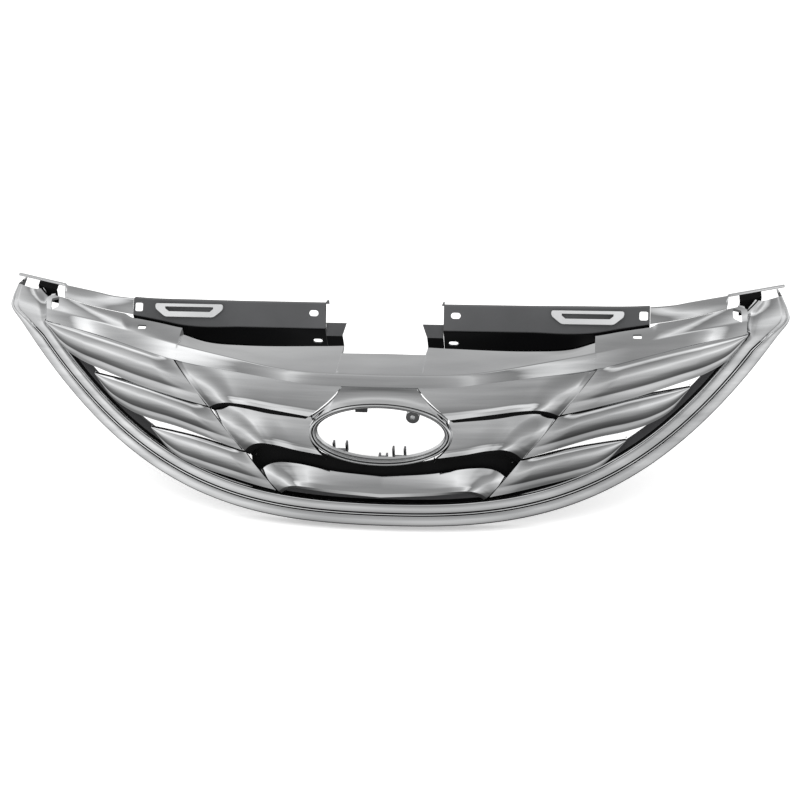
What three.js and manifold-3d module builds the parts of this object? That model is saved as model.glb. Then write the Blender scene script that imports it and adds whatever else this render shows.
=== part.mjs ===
// Front grille of a saloon car: a chromed surround with swept wing blades, stepped centre
// louvres, an oval emblem bezel and two gloss black carriers that hang it from the car.
// Millimetres. X runs across the car, the face looks along -Y, Z is up.
import * as THREE from "three";
import { mergeVertices } from "three/addons/utils/BufferGeometryUtils.js";
import Module from "manifold-3d";

const wasm = await Module();
wasm.setup();

// ---------------------------------------------------------------- driving dimensions
const HALF_WIDTH = 536; // centre line to the outermost edge of a tip
const TIP_RISE = 246; // climb of the outer edge from the centre to a tip
const RISE_POWER = 3.1; // how late that climb comes
const SWEEP = 108; // how far the face falls back at the tips
const RECLINE = 0.2; // lean of the face, millimetres back for each one up
const FACE_HEIGHT = 127; // where the centre of the face has depth zero: the emblem's height
const WALL = 2.6; // usual wall of a moulding
const GAP = 0.6; // clearance between neighbouring mouldings
const SEAM_X = 281; // outer end of the top bar
const SEAM_FOOT = { x: 143, z: 38 }; // lower end of the seam between louvres and wing blades
const SEAM_SLOPE = 0.84; // sideways run of the seam for each millimetre up
const EMBLEM = { halfWidth: 96.5, halfHeight: 43, openWidth: 86, openHeight: 35 };
const CARRIER_INNER = 80; // inner end of a top carrier
const CARRIER_STRAIGHT = 200; // a carrier is straight from its inner end to here
const CARRIER_OUTER = 352; // its outer end
const STRAIGHT_RUN = [120, 5.5, -2.5]; // direction of the straight stretch

const CHROME = { color: 0xc9cccf, roughness: 0.08, metalness: 1 };
const GLOSS_BLACK = { color: 0x16171a, roughness: 0.2, metalness: 0 };
const MATTE_BLACK = { color: 0x2a2b2d, roughness: 0.6, metalness: 0 };
const PALE_FOAM = { color: 0xb9bcbe, roughness: 0.5, metalness: 0 };
const ZINC = { color: 0x9a9c9e, roughness: 0.35, metalness: 0.9 };

// ---------------------------------------------------------------- reference surfaces and lines
const face = (x, z) => RECLINE * (z - FACE_HEIGHT) + SWEEP * (x / HALF_WIDTH) ** 2;
const onFace = (x, z, back = 0) => new THREE.Vector3(x, face(x, z) + back, z);
const outerEdge = (x) => TIP_RISE * (Math.abs(x) / HALF_WIDTH) ** RISE_POWER;
const seamX = (z) => SEAM_FOOT.x + SEAM_SLOPE * (z - SEAM_FOOT.z);

// A smooth line across the car through a few [x, y, z] points, read at any x.
function lineAcross(points) {
  const size = points[0].length - 1;
  const spline = new THREE.CubicInterpolant(
    points.map((p) => p[0]),
    points.flatMap((p) => p.slice(1)),
    size,
    new Float32Array(size),
  );
  return (x) => new THREE.Vector3(x, ...spline.evaluate(x));
}

// The same, for lines drawn on the face by [x, z] points; back sets them behind it.
function lineOnFace(points, back = 0) {
  const height = lineAcross(points.map(([x, z]) => [x, 0, z]));
  return (x, extra = 0) => onFace(x, height(x).z, back + extra);
}

const CREASE = lineAcross([
  [0, 16.4, 209], [94, 21, 209], [133, 27, 210], [212, 45, 217.6],
  [282, 64, 224], [354, 84, 232.5], [402, 97, 239], [484, 118, 249],
]);
const FASCIA_FOOT = lineAcross([
  [0, 13.5, 192.5], [95, 17, 192.5], [133, 20.6, 196.5], [205, 31, 203],
  [278, 46, 208.3], [400, 81, 227.5], [482, 109, 233.7],
]);
const SHELF_REAR = lineAcross([[57, 92, 208], [80, 93, 207.3], [200, 98, 205.6], [286, 96, 217.5]]);
const NOTCH_REAR = lineAcross([[0, 71, 212], [40, 72, 211], [57, 71, 211.5]]);
const NOTCH_HALF = 57; // half width of the notch for the bonnet latch
const DECK_FOLD = lineAcross([
  [200, 89.5, 238.5], [249, 93, 235.5], [281, 97, 236], [314, 101, 241],
  [403, 113, 252.5], [453, 121, 263], [480, 127, 267],
]);
const DECK_TOP = lineAcross([
  [200, 104.5, 268.5], [255, 108, 267.5], [337, 117, 264.5], [385, 125, 265.5],
  [404, 129, 268], [457, 138, 275], [529, 160, 279.5],
]);
const RISER_FOOT = lineAcross([
  [200, 100.5, 204.5], [270, 99, 215], [300, 101.5, 232], [357, 108, 241.5],
]);

const BLADES = {
  upper: {
    top: lineAcross([[278, 46.5, 205.2], [400, 81.5, 224.2], [482, 109.5, 230.4]]),
    foot: lineOnFace([[240, 151], [286, 159], [333, 167], [385, 178.5], [430, 190],
      [455, 203], [478, 228]]),
    inner: 206,
    outer: 481,
    outerFoot: 478,
    crown: 8,
  },
  middle: {
    top: lineOnFace([[236, 147.5], [289, 158.5], [337, 166.5], [407, 171.5]]),
    foot: lineOnFace([[190, 93], [251, 109.5], [286, 117], [325, 122], [355, 129],
      [385, 145], [405, 168]]),
    inner: 147,
    outer: 407,
    outerFoot: 405,
    crown: 7.5,
  },
  lower: {
    top: lineOnFace([[190, 90], [251, 102], [290, 106], [325, 108]]),
    foot: lineOnFace([[144, 40.5], [203, 52.5], [253, 62.5], [281, 70], [303, 84],
      [323, 105]]),
    inner: 89,
    outer: 325,
    outerFoot: 323,
    crown: 6,
  },
};

// ---------------------------------------------------------------- solids from sections
const lerp = THREE.MathUtils.lerp;

function solidMesh(name, finish, geometry) {
  const mesh = new THREE.Mesh(geometry, new THREE.MeshStandardMaterial(finish));
  mesh.name = name;
  return mesh;
}

function signedVolume(points, faces) {
  let sum = 0;
  for (let i = 0; i < faces.length; i += 3) {
    const [a, b, c] = [points[faces[i]], points[faces[i + 1]], points[faces[i + 2]]];
    sum += a.dot(new THREE.Vector3().crossVectors(b, c)) / 6;
  }
  return sum;
}

function closedGeometry(points, faces) {
  if (signedVolume(points, faces) < 0) faces.reverse();
  const geometry = new THREE.BufferGeometry().setFromPoints(points);
  geometry.setIndex(faces);
  geometry.computeVertexNormals();
  return geometry;
}

// Joins rings of equally many points. An open run of rings is capped by pairing the ring's
// first half with its second, so each ring is a front line followed by the back line reversed.
function weave(rings, closed = false) {
  const size = rings[0].length;
  const faces = [];
  const last = closed ? rings.length : rings.length - 1;
  for (let i = 0; i < last; i++) {
    const here = i * size;
    const next = ((i + 1) % rings.length) * size;
    for (let k = 0; k < size; k++) {
      const m = (k + 1) % size;
      faces.push(here + k, next + k, next + m, here + k, next + m, here + m);
    }
  }
  if (!closed) {
    const end = (rings.length - 1) * size;
    for (let k = 0; k < size / 2 - 1; k++) {
      const far = size - 1 - k;
      faces.push(k, k + 1, far - 1, k, far - 1, far);
      faces.push(end + k, end + far - 1, end + k + 1, end + k, end + far, end + far - 1);
    }
  }
  return closedGeometry(rings.flat(), faces);
}

// The line moved sideways by the wall, to the right of its own direction.
function offsetLine(line, wall) {
  return line.map((point, i) => {
    const before = line[Math.max(i - 1, 0)];
    const after = line[Math.min(i + 1, line.length - 1)];
    const inward = i ? point.clone().sub(before).normalize() : null;
    const onward = i < line.length - 1 ? after.clone().sub(point).normalize() : null;
    const a = inward ?? onward;
    const b = onward ?? inward;
    const normal = new THREE.Vector2(a.y + b.y, -a.x - b.x).normalize();
    const stretch = Math.min(1 / Math.max(normal.dot(new THREE.Vector2(a.y, -a.x)), 0.1), 1.5);
    return point.clone().addScaledVector(normal, wall * stretch);
  });
}

// One section: a profile of [along, out] millimetres, laid from top towards bottom, with
// out measured away from the car, and its wall behind it.
function section(top, bottom, profile, wall) {
  const along = bottom.clone().sub(top).normalize();
  const out = new THREE.Vector3(0, -1, 0);
  out.addScaledVector(along, -out.dot(along)).normalize();
  const front = profile.map(([p, q]) => new THREE.Vector2(p, q));
  const back = offsetLine(front, wall).reverse();
  const place = ({ x, y }) => top.clone().addScaledVector(along, x).addScaledVector(out, y);
  return [...front, ...back].map(place);
}

// A moulding lofted through sections; each step t gives its top, its bottom and its profile.
function moulding(steps, at, wall = WALL) {
  return weave(steps.map((t) => {
    const { top, bottom, profile } = at(t);
    return section(top, bottom, profile(bottom.distanceTo(top)), wall);
  }));
}

const even = (from, to, count) =>
  Array.from({ length: count + 1 }, (_, i) => lerp(from, to, i / count));

function mirrored(geometry) {
  const copy = geometry.index ? geometry.clone() : mergeVertices(geometry.clone());
  copy.scale(-1, 1, 1);
  copy.setIndex([...copy.index.array].reverse());
  copy.computeVertexNormals();
  return copy;
}

function solid(geometry) {
  const bare = geometry.clone();
  bare.deleteAttribute("normal");
  bare.deleteAttribute("uv");
  const merged = mergeVertices(bare, 1e-3);
  return new wasm.Manifold(
    new wasm.Mesh({
      numProp: 3,
      vertProperties: new Float32Array(merged.attributes.position.array),
      triVerts: new Uint32Array(merged.index.array),
    }),
  );
}

function geometryOf(manifold) {
  const mesh = manifold.getMesh();
  const geometry = new THREE.BufferGeometry();
  geometry.setAttribute("position", new THREE.BufferAttribute(mesh.vertProperties, 3));
  geometry.setIndex(new THREE.BufferAttribute(mesh.triVerts, 1));
  geometry.computeVertexNormals();
  return geometry;
}

const cut = (geometry, ...tools) =>
  geometryOf(tools.reduce((rest, tool) => rest.subtract(solid(tool)), solid(geometry)));
const join = (first, ...others) =>
  geometryOf(others.reduce((whole, piece) => whole.add(solid(piece)), solid(first)));

// Lays a geometry drawn in X and Y, thick along Z, on a surface through three directions.
function laid(geometry, centre, up, lift = 0) {
  const across = new THREE.Vector3(...STRAIGHT_RUN).normalize();
  const normal = new THREE.Vector3().crossVectors(across, up).normalize();
  const level = new THREE.Vector3().crossVectors(normal, across).normalize();
  const basis = new THREE.Matrix4().makeBasis(across, level, normal);
  basis.setPosition(centre.clone().addScaledVector(normal, lift));
  return geometry.clone().applyMatrix4(basis);
}

function roundedSlot(length, width, depth) {
  const r = width / 2;
  const half = length / 2 - r;
  const shape = new THREE.Shape();
  shape.absarc(half, 0, r, -Math.PI / 2, Math.PI / 2, false);
  shape.absarc(-half, 0, r, Math.PI / 2, Math.PI * 1.5, false);
  return extruded(shape, depth, 4);
}

function roundedSquare(side, radius, depth) {
  const [half, flat] = [side / 2, side / 2 - radius];
  const shape = new THREE.Shape().moveTo(half, -flat);
  const quarter = Math.PI / 2;
  shape.absarc(flat, flat, radius, 0, quarter, false);
  shape.absarc(-flat, flat, radius, quarter, 2 * quarter, false);
  shape.absarc(-flat, -flat, radius, 2 * quarter, 3 * quarter, false);
  shape.absarc(flat, -flat, radius, 3 * quarter, 4 * quarter, false);
  return extruded(shape, depth, 4);
}

function extruded(shape, depth, curveSegments = 6) {
  const options = { depth, bevelEnabled: false, curveSegments };
  return new THREE.ExtrudeGeometry(shape, options).translate(0, 0, -depth / 2);
}

const polygon = (points) => new THREE.Shape(points.map(([x, y]) => new THREE.Vector2(x, y)));

// ---------------------------------------------------------------- surround
const BAND = { centre: 29.5, side: 34, straightTo: 500 }; // width of the visible band
const FLANGE = { outer: 24, inner: 11 }; // how far the band's edges turn back
const GROOVE = { place: 0.5, width: 4, depth: 1.4 };
const BAND_TILT = { outer: -3, inner: 5 }; // the band slopes into the opening
// Sections of a tip, climbing: outer x and z, inner x and z, set back, place of the groove.
const TIP = [
  [520, 223.6, 481, 228, 0, 0.36], [535, 243, 482, 239, 0, 0.14],
  [533, 256, 485, 253, 3, 0.08], [524, 274, 496, 267, 11, 0.07],
];

function surroundSection(t) {
  const side = Math.sign(t) || 1;
  const x = Math.abs(t);
  if (x > BAND.straightTo) {
    const [ox, oz, ix, iz, back, groove] = TIP[Math.round(x - BAND.straightTo) - 1];
    const top = onFace(side * ox, oz, back + BAND_TILT.outer);
    return { top, bottom: onFace(side * ix, iz, back + BAND_TILT.inner), groove };
  }
  const z = outerEdge(x);
  const slope = (outerEdge(x + 1) - outerEdge(x - 1)) / 2;
  const width = lerp(BAND.centre, BAND.side, (x / BAND.straightTo) ** 2) / Math.hypot(slope, 1);
  const top = onFace(side * x, z, BAND_TILT.outer);
  const bottom = onFace(side * (x - slope * width), z + width, BAND_TILT.inner);
  return { top, bottom, groove: GROOVE.place };
}

function surroundProfile(width, groove) {
  const middle = Math.max(groove * width, GROOVE.width * 0.9);
  const half = GROOVE.width / 2;
  return [
    [0, -FLANGE.outer], [0, -3], [1, -0.8], [middle - half, 0], [middle, -GROOVE.depth], [middle + half, 0],
    [width - 3, 0], [width - 0.6, -1.2], [width, -4], [width, -FLANGE.inner],
  ];
}

const surroundSteps = [
  ...TIP.map((_, i) => -BAND.straightTo - TIP.length + i),
  ...even(-BAND.straightTo, BAND.straightTo, 42),
  ...TIP.map((_, i) => BAND.straightTo + i + 1),
];

function surround() {
  return moulding(surroundSteps, (t) => {
    const { top, bottom, groove } = surroundSection(t);
    return { top, bottom, profile: (width) => surroundProfile(width, groove) };
  });
}

// Matte black liner behind the surround: a ledge that shows between it and the blades.
const LINER = { lap: -0.8, ledge: 11, back: 7, wall: 3, lip: 9 };

function liner() {
  return moulding(surroundSteps.slice(4, -4), (t) => {
    const { top, bottom } = surroundSection(t);
    const inward = bottom.clone().sub(top).normalize();
    const from = bottom.clone().addScaledVector(inward, -LINER.lap).setY(bottom.y + LINER.back);
    const to = bottom.clone().addScaledVector(inward, LINER.ledge).setY(bottom.y + LINER.back + 4);
    return { top: from, bottom: to, profile: (w) => [[0, 0], [w - 1, 0], [w, -1], [w, -LINER.lip]] };
  }, LINER.wall);
}

// ---------------------------------------------------------------- top bar and bridge
// The panel above the emblem: half width at its shoulders, the lower corners of its wings, how
// far their edges sag inwards, and the angle on the bezel where it ends.
const BRIDGE = { shoulder: 49, corner: { x: 91.5, z: 151 }, sag: 4.5, end: 22, split: 0.7 };

// One section of bent sheet at x: front lists the points of its outer face, top first.
function bentSection(x, front, wall = WALL) {
  const flat = front.map((v) => new THREE.Vector2(v.z, -v.y));
  const back = offsetLine(flat, wall).map((v) => new THREE.Vector3(x, -v.y, v.x));
  return [...front.map((v) => v.clone().setX(x)), ...back.reverse()];
}

function topBar() {
  const side = even(NOTCH_HALF + 0.3, SEAM_X, 14);
  const middle = even(-NOTCH_HALF, NOTCH_HALF, 8);
  const steps = [...side.map((x) => -x).reverse(), ...middle, ...side];
  return weave(steps.map((x) => {
    const at = Math.abs(x);
    const rear = at > NOTCH_HALF ? SHELF_REAR(at) : NOTCH_REAR(at);
    const crease = CREASE(at);
    const front = [rear, rear.clone().lerp(crease, 0.5), crease, FASCIA_FOOT(at)];
    return bentSection(x, front, -WALL);
  }));
}

// A point of the panel's upper edge: along the fascia, then down the edge of a wing.
function bridgeTop(share) {
  const { shoulder, corner, sag, split } = BRIDGE;
  const z = (x) => FASCIA_FOOT(x).z - GAP;
  if (share <= split) return [shoulder * share / split, z(shoulder * share / split)];
  const down = (share - split) / (1 - split);
  const bow = sag * 4 * down * (1 - down);
  return [lerp(shoulder, corner.x, down) - bow, lerp(z(shoulder), corner.z, down)];
}

function bridge() {
  return moulding(even(-1, 1, 24), (t) => {
    const side = Math.sign(t);
    const [topX, topZ] = bridgeTop(Math.abs(t));
    const angle = THREE.MathUtils.degToRad(90 - (90 - BRIDGE.end) * Math.abs(t));
    const footX = (EMBLEM.halfWidth + 3 * GAP) * Math.cos(angle);
    const footZ = FACE_HEIGHT + (EMBLEM.halfHeight + 3 * GAP) * Math.sin(angle);
    return {
      top: onFace(side * topX, topZ, 0.5),
      bottom: onFace(side * footX, footZ, -1),
      profile: (w) => [[0, 0], [w * 0.5, -1.5], [w, 0]],
    };
  });
}

// ---------------------------------------------------------------- emblem bezel
// Terraces of the oval, from the rim inwards: how far in from the rim, and how far out.
const BEZEL_OUTSIDE = [[2, -14], [0, -3], [1.5, 2.5], [4, 3], [4.6, 0.8], [7, 1], [7.6, -1.5],
  [9.5, -1.5], [10.5, -4], [10.5, -9]];
const BEZEL_WALL = 2;
const BEZEL_BACK = 1; // the bezel's plane lies this far behind the middle of the face
const onBezel = (x, z, back = 0) =>
  new THREE.Vector3(x, RECLINE * (z - FACE_HEIGHT) + BEZEL_BACK + back, z);

function bezel() {
  const count = 64;
  const outline = BEZEL_OUTSIDE.map(([p, q]) => new THREE.Vector2(p, q));
  const inside = offsetLine(outline, BEZEL_WALL).reverse();
  const rings = even(0, 2 * Math.PI, count).slice(0, count).map((angle) =>
    [...outline, ...inside].map(({ x: inset, y: out }) => {
      const share = inset / (EMBLEM.halfWidth - EMBLEM.openWidth);
      const rx = lerp(EMBLEM.halfWidth, EMBLEM.openWidth, share);
      const rz = lerp(EMBLEM.halfHeight, EMBLEM.openHeight, share);
      return onBezel(rx * Math.cos(angle), FACE_HEIGHT + rz * Math.sin(angle), -out);
    }));
  return weave(rings, true);
}

// ---------------------------------------------------------------- centre louvres
// Nose lines of the three ridges, [x, y, z], from the middle to the point on the seam.
const NOSE = [
  lineAcross([[90, -2, 153.5], [144, 4.3, 159.5], [190, 11, 163.5], [213, 15.5, 162],
    [228, 21, 155], [235, 25, 149.5]]),
  lineAcross([[60, -14, 99], [80, -12.6, 102], [113, -9.4, 106], [146, -5.2, 111],
    [167, -1.5, 110], [181, 3, 101], [188, 6, 92.5]]),
  lineAcross([[0, -24, 49], [70, -21.5, 52], [98, -19.5, 53.5], [122, -16, 52.5],
    [134, -13, 47], [142, -10.5, 39.5]]),
];
// Upper edges of the louvres, set back so that each starts behind the ridge above it.
const EAVE = [
  lineAcross([[49, 19, 190.5], [133, 26, 194], [205, 37, 200.5], [276, 52, 205.5]]),
  lineAcross([[90, 12, 146], [144, 17, 150], [190, 23.5, 152], [233, 33, 146]]),
  lineAcross([[0, -2, 63], [66, 0, 68], [120, 4.5, 76], [160, 10.5, 70], [172, 12, 68.5]]),
];

const NOSE_FACET = [7, 9, 5]; // height of the upright facet below each nose line

// A hollow sweep out to the nose, an upright facet below it, and a lip turned back under it.
function louvreProfile(width, facet) {
  const h = facet * Math.min(width / 30, 1);
  return [
    [0, 0], [width * 0.25, -1.5], [width * 0.5, -2.5], [width * 0.75, -2.6], [width * 0.88, -1.7],
    [width * 0.95, -0.4], [width, 0.3], [width + 0.85 * h, -0.53 * h],
    [width + 0.85 * h - 4, -0.53 * h - 7],
  ];
}

const LOUVRE_WALL = 2.2;

// The inner end follows a sagging edge where the neighbour's edge sags.
function louvre(eave, nose, facet, inner, outer, count) {
  return weave(even(0, 1, count).map((t) => {
    const near = 1 - (1 - t) ** 1.5;
    const top = eave(lerp(inner.top, outer.top, near));
    const bottom = nose(lerp(inner.foot, outer.foot, near));
    const profile = louvreProfile(bottom.distanceTo(top), facet);
    const bow = 4 * inner.sag * (1 - near) ** 6;
    return section(top, bottom, profile, LOUVRE_WALL).map((point) => {
      const down = THREE.MathUtils.clamp((top.z - point.z) / (top.z - bottom.z), 0, 1);
      return point.setX(point.x - bow * down * (1 - down));
    });
  }));
}

const upperLouvre = () => louvre(EAVE[0], NOSE[0], NOSE_FACET[0],
  { top: 51.5, foot: 94, sag: BRIDGE.sag }, { top: 281, foot: 235 }, 16);
const middleLouvre = () => cut(
  louvre(EAVE[1], NOSE[1], NOSE_FACET[1],
    { top: 94, foot: 76, sag: 0 }, { top: 229.5, foot: 187 }, 14),
  ovalPlug(EMBLEM.halfWidth + GAP, EMBLEM.halfHeight + GAP, 80));

// An oval block along Y that stands for the bezel's own room.
function ovalPlug(halfWidth, halfHeight, depth) {
  const shape = new THREE.Shape();
  shape.absellipse(0, 0, halfWidth, halfHeight, 0, 2 * Math.PI);
  return extruded(shape, depth, 24).rotateX(Math.PI / 2).translate(0, 0, FACE_HEIGHT);
}

function lowerLouvre() {
  const mirror = (line) => (x) => line(Math.abs(x)).setX(x);
  const [eave, nose] = [mirror(EAVE[2]), mirror(NOSE[2])];
  return moulding(even(-1, 1, 28), (t) => {
    const near = Math.sign(t) * (1 - (1 - Math.abs(t)) ** 1.3);
    const profile = (width) => louvreProfile(width, NOSE_FACET[2]);
    return { top: eave(near * 168), bottom: nose(near * 142), profile };
  }, LOUVRE_WALL);
}

// ---------------------------------------------------------------- wing blades
function bladeProfile(crown) {
  return (width) => {
    const k = Math.min(width / 50, 1) * crown;
    return [
      [0, 0], [width * 0.08, k * 0.42], [width * 0.2, k * 0.8], [width * 0.35, k],
      [width * 0.5, k * 0.93], [width * 0.63, k * 0.74], [width * 0.74, k * 0.5],
      [width * 0.87, k * 0.5], [width, k * 0.42],
    ];
  };
}

function wingBlade({ top, foot, inner, outer, outerFoot, crown }) {
  const start = { top: seamX(inner) + 1.5, foot: seamX(foot(seamX(inner) - 40).z) + 1.5 };
  return moulding(even(0, 1, 14), (t) => {
    const near = 1 - (1 - t) ** 1.6;
    return {
      top: top(lerp(start.top, outer, near)),
      bottom: foot(lerp(start.foot, outerFoot, near)),
      profile: bladeProfile(crown * THREE.MathUtils.smoothstep(near, -0.12, 0.2)),
    };
  }, 2.4);
}

// ---------------------------------------------------------------- wing caps and top strips
function wingCap() {
  const cap = weave(even(SEAM_X + GAP, 478, 16).map((x) => {
    const fold = DECK_FOLD(x).add(new THREE.Vector3(0, -2, -3.5));
    const crease = CREASE(x);
    return bentSection(x, [fold, fold.clone().lerp(crease, 0.5), crease, FASCIA_FOOT(x)], -WALL);
  }));
  return cut(cap, ...SNAP_HOLES.map(snapHole));
}

const SNAP_HOLES = [336, 466]; // where snap hooks come up through the cap's shelf

function snapHole(x) {
  const at = CREASE(x).lerp(DECK_FOLD(x), 0.4);
  return new THREE.BoxGeometry(11, 6, 24).rotateY(-0.14).translate(x, at.y, at.z);
}

// Beyond a pocket's edge only a narrow rail of the strip runs on, above the surround's tip.
const RAIL = { from: 452, to: 529, height: 2.6 };

function topStrip() {
  const steps = [...even(CARRIER_OUTER + GAP, RAIL.from, 10), ...even(RAIL.from + 0.2, RAIL.to, 8)];
  return moulding(steps, (x) => {
    const top = DECK_TOP(x);
    const rail = top.clone().add(new THREE.Vector3(0, -RAIL.height / 4, -RAIL.height));
    const profile = (w) => [[-1, -5.5], [0, 0], [w * 0.5, 0.6], [w - 0.5, 0]];
    return { top, bottom: x > RAIL.from ? rail : DECK_FOLD(x), profile };
  });
}

// Black backing of the pocket between a cap's end and the surround's tip.
function tipBacking() {
  return weave(even(470, 499, 3).map((x) => {
    const under = (y, z) => DECK_TOP(x).add(new THREE.Vector3(0, y, z));
    return bentSection(x, [under(15, -8), under(2, -12.5), under(3, -33)]);
  }));
}

// ---------------------------------------------------------------- carriers
function onCarrier(line) {
  const end = line(CARRIER_STRAIGHT);
  const run = new THREE.Vector3(...STRAIGHT_RUN).divideScalar(STRAIGHT_RUN[0]);
  return (x) =>
    x < CARRIER_STRAIGHT ? end.clone().addScaledVector(run, x - CARRIER_STRAIGHT) : line(x);
}
const carrierTop = onCarrier(DECK_TOP);
const carrierFold = onCarrier(DECK_FOLD);
const carrierFoot = onCarrier(RISER_FOOT);
const DECK_UP = new THREE.Vector3().subVectors(carrierTop(100), carrierFold(100));
const RISER_UP = new THREE.Vector3().subVectors(carrierFold(100), carrierFoot(100));
const onDeck = (x, share) => carrierFold(x).lerp(carrierTop(x), share);
const onRiser = (x, share) => carrierFoot(x).lerp(carrierFold(x), share);
const SLOT = { length: 13, width: 8 };
const WINDOW = { x: 270, length: 96, height: 18, rim: 14 };

// Outline of the window, raised off its own middle by lift.
function windowOutline(length, height, lift = 0) {
  const [a, b] = [length / 2, height / 2];
  const corners = [[-a, b], [a, b], [a, b * 0.2], [a - b * 1.5, -b], [-a + b * 1.5, -b], [-a, b * 0.2]];
  return polygon(corners.map(([x, y]) => [x, y + lift]));
}

function carrierSection(x) {
  const top = carrierTop(x);
  const lip = top.clone().add(new THREE.Vector3(0, 9, -2));
  return bentSection(x, [carrierFoot(x), carrierFold(x), top, lip]);
}

function carrier() {
  const steps = [...even(CARRIER_INNER, CARRIER_STRAIGHT, 3), ...even(220, CARRIER_OUTER, 7)];
  const body = weave(steps.map(carrierSection));
  const slots = [
    laid(roundedSlot(SLOT.length, SLOT.width, 20), onDeck(96, 0.62), DECK_UP),
    laid(roundedSlot(SLOT.length, SLOT.width, 20), onRiser(92.5, 0.4), RISER_UP),
    laid(roundedSquare(11.5, 2.5, 20), onDeck(344, 0.52), DECK_UP),
  ];
  return cut(body, ...slots);
}

function windowFrame() {
  const shape = windowOutline(WINDOW.length, WINDOW.height);
  const hole = windowOutline(WINDOW.length - 2 * WINDOW.rim, 6.5, 1.6);
  const frame = cut(extruded(shape, 2.4), extruded(hole, 6));
  return laid(frame, onDeck(WINDOW.x, 0.62), DECK_UP, 4.4);
}

// Small gloss black bracket at the inner end of a carrier, beside the bonnet latch.
const LATCH = {
  foot: { y: 94.5, z: 208 }, fold: { y: 86, z: 229.5 }, top: { y: 91, z: 246.5 },
  inner: 57.5, corner: 51.5, outer: CARRIER_INNER - GAP,
};

function latchBracket() {
  const ends = [[LATCH.inner, LATCH.inner, LATCH.corner], [62, 62, 62],
    [LATCH.outer, LATCH.outer, LATCH.outer]];
  const lines = [LATCH.foot, LATCH.fold, LATCH.top].map(({ y, z }) => new THREE.Vector2(z, -y));
  const back = offsetLine(lines, WALL).reverse();
  const rings = ends.map((xs) => {
    const at = [...xs, ...[...xs].reverse()];
    return [...lines, ...back].map((v, i) => new THREE.Vector3(at[i], -v.y, v.x));
  });
  return weave(rings);
}

// ---------------------------------------------------------------- emblem fixings
const SOCKET_DROP = 10.5; // the sockets stand this far below the edge of the opening, behind it

// U-shaped socket, open at the top, that takes a leg of the emblem.
function socket(x, width, height, back) {
  const [w, h, t] = [width / 2, height, 2.4];
  const outline = polygon([[-w, 0], [w, 0], [w, h], [w - t, h], [w - t, t], [t - w, t],
    [t - w, h], [-w, h]]);
  const z = FACE_HEIGHT - ovalAt(x) - SOCKET_DROP;
  const block = extruded(outline, 9).rotateX(Math.PI / 2);
  return block.translate(x, onBezel(x, z, back).y, z);
}

// Half height of the emblem opening at a distance across it.
const ovalAt = (x) => EMBLEM.openHeight * Math.sqrt(1 - (x / EMBLEM.openWidth) ** 2);

function topTab(x) {
  const z = FACE_HEIGHT + ovalAt(x) - 8;
  return new THREE.BoxGeometry(16, 6, 7).translate(x, onBezel(x, z, 19).y, z);
}

// Screw boss on an arm, at the upper right of the opening.
const BOSS = { x: 42, z: 143, radius: 9, bore: 3.4, length: 14, back: 24 };

function boss() {
  const { radius, bore, length } = BOSS;
  const wall = [[bore, 0], [radius, 0], [radius, length], [bore, length], [bore, 0]];
  const tube = new THREE.LatheGeometry(wall.map(([r, h]) => new THREE.Vector2(r, h)), 20);
  const arm = new THREE.BoxGeometry(7, length - 4, 14).translate(0, length / 2, radius + 5);
  const piece = join(tube, arm);
  return piece.translate(BOSS.x, onBezel(BOSS.x, BOSS.z, BOSS.back).y - length / 2, BOSS.z);
}

// ---------------------------------------------------------------- rear frame
const FRAME_BACK = 21; // how far behind the face the rear frame stands
const FRAME_WALL = 3;

function frameBar(points, width) {
  return moulding(even(0, 1, points.length * 3), (t) => {
    const at = t * (points.length - 1);
    const i = Math.min(Math.floor(at), points.length - 2);
    const [x, z] = [0, 1].map((k) => lerp(points[i][k], points[i + 1][k], at - i));
    const [dx, dz] = [0, 1].map((k) => points[i + 1][k] - points[i][k]);
    const half = width / 2 / Math.hypot(dx, dz);
    const top = onFace(x - dz * half, z + dx * half, FRAME_BACK);
    const bottom = onFace(x + dz * half, z - dx * half, FRAME_BACK);
    return { top, bottom, profile: (w) => [[0, -6], [0, 0], [w, 0], [w, -6]] };
  }, FRAME_WALL);
}

function rearFrame() {
  const rib = frameBar([[166, 70], [268, 188]], 20);
  const crossbar = frameBar([[-268, 186], [0, 180], [268, 186]], 14);
  const sill = frameBar([[-166, 68], [0, 60], [166, 68]], 13);
  return cut(join(rib, mirrored(rib), crossbar, sill), ...screwBores());
}

// Black baffle that closes the recess behind the lower louvre.
function lowerBaffle() {
  const sheet = moulding(even(-158, 158, 16), (x) => {
    const rise = 14 * (x / 158) ** 2;
    const profile = (w) => [[0, -5], [0.5, 0], [w * 0.5, 0], [w, 0]];
    return { top: onFace(x, 81, 16), bottom: onFace(x, 46 + rise, 16), profile };
  });
  return cut(sheet, ...screwBores());
}

// ---------------------------------------------------------------- fasteners
const SCREW = { head: 4.2, shank: 2, headHeight: 2.6, length: 10 };
const SCREW_BACK = FRAME_BACK + FRAME_WALL + 1; // seat of the screw heads behind the face
const SCREWS = [-1, 1].flatMap((side) => [
  [side * 262, 184], [side * 219, 131], [side * 175, 80], [side * 150, 183], [side * 90, 64],
]); // where the screws go through the rear frame, x and z

// Pan head tapping screw, head to the rear, its shank towards the face; room widens it.
function screw(x, z, back, room = 0) {
  const { head, shank, headHeight, length } = SCREW;
  const profile = [[0, -length], [shank * 0.5, -length], [shank + room, 3 - length],
    [shank + room, 0], [head + room, 0], [head + room, headHeight * 0.5],
    [head * 0.7, headHeight + room], [0, headHeight + room]];
  const turned = new THREE.LatheGeometry(profile.map(([r, h]) => new THREE.Vector2(r, h)), 12);
  return turned.translate(x, onFace(x, z, back).y, z);
}

const screwBores = () => SCREWS.map(([x, z]) => screw(x, z, SCREW_BACK - 0.4, 0.4));

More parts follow.
